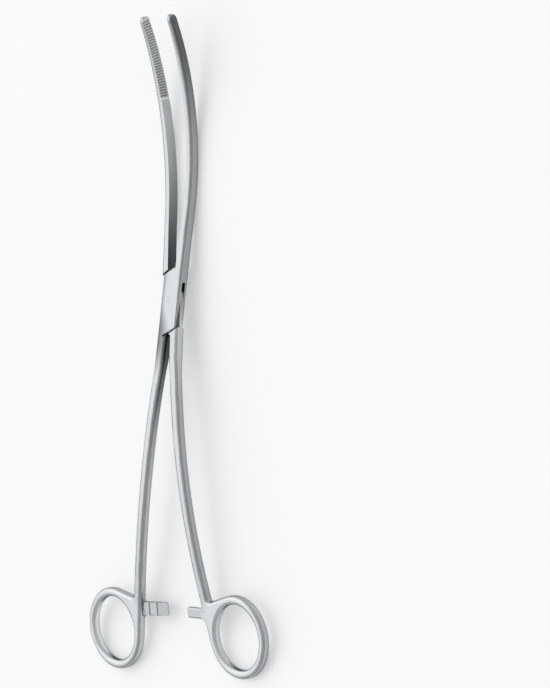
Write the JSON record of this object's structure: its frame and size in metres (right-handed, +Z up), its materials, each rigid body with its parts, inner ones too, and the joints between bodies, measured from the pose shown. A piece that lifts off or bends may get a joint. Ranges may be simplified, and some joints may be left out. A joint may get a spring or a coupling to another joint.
{
  "type": "sponge holding forceps",
  "caption": "Long S-curved steel forceps with finger rings, toothed ratchet bars, a box lock and slender cross-serrated jaws, lying slightly open.",
  "frame": {"origin": "middle of the outline seen from above, at the height of the surface the forceps lie on", "axes": "+Y from the finger rings towards the jaw tips, +X across the rings to the right, +Z up from the surface"},
  "size_m": [0.1006, 0.2564, 0.0166],
  "materials": {
    "satin_steel": "satin",
    "rivet_steel": "satin"
  },
  "bodies": {
    "box_side": {"box_half": "satin_steel", "lock_pin": "rivet_steel"},
    "tongue_side": {"tongue_half": "satin_steel"}
  },
  "joints": [
    {"name": "box_lock_pivot", "type": "hinge", "parent": "box_side", "child": "tongue_side", "pos_m": [0, 0.01699, 0.00646], "axis": [0, 0.0985, 0.9951], "range_deg": [-6.9, 20]}
  ]
}
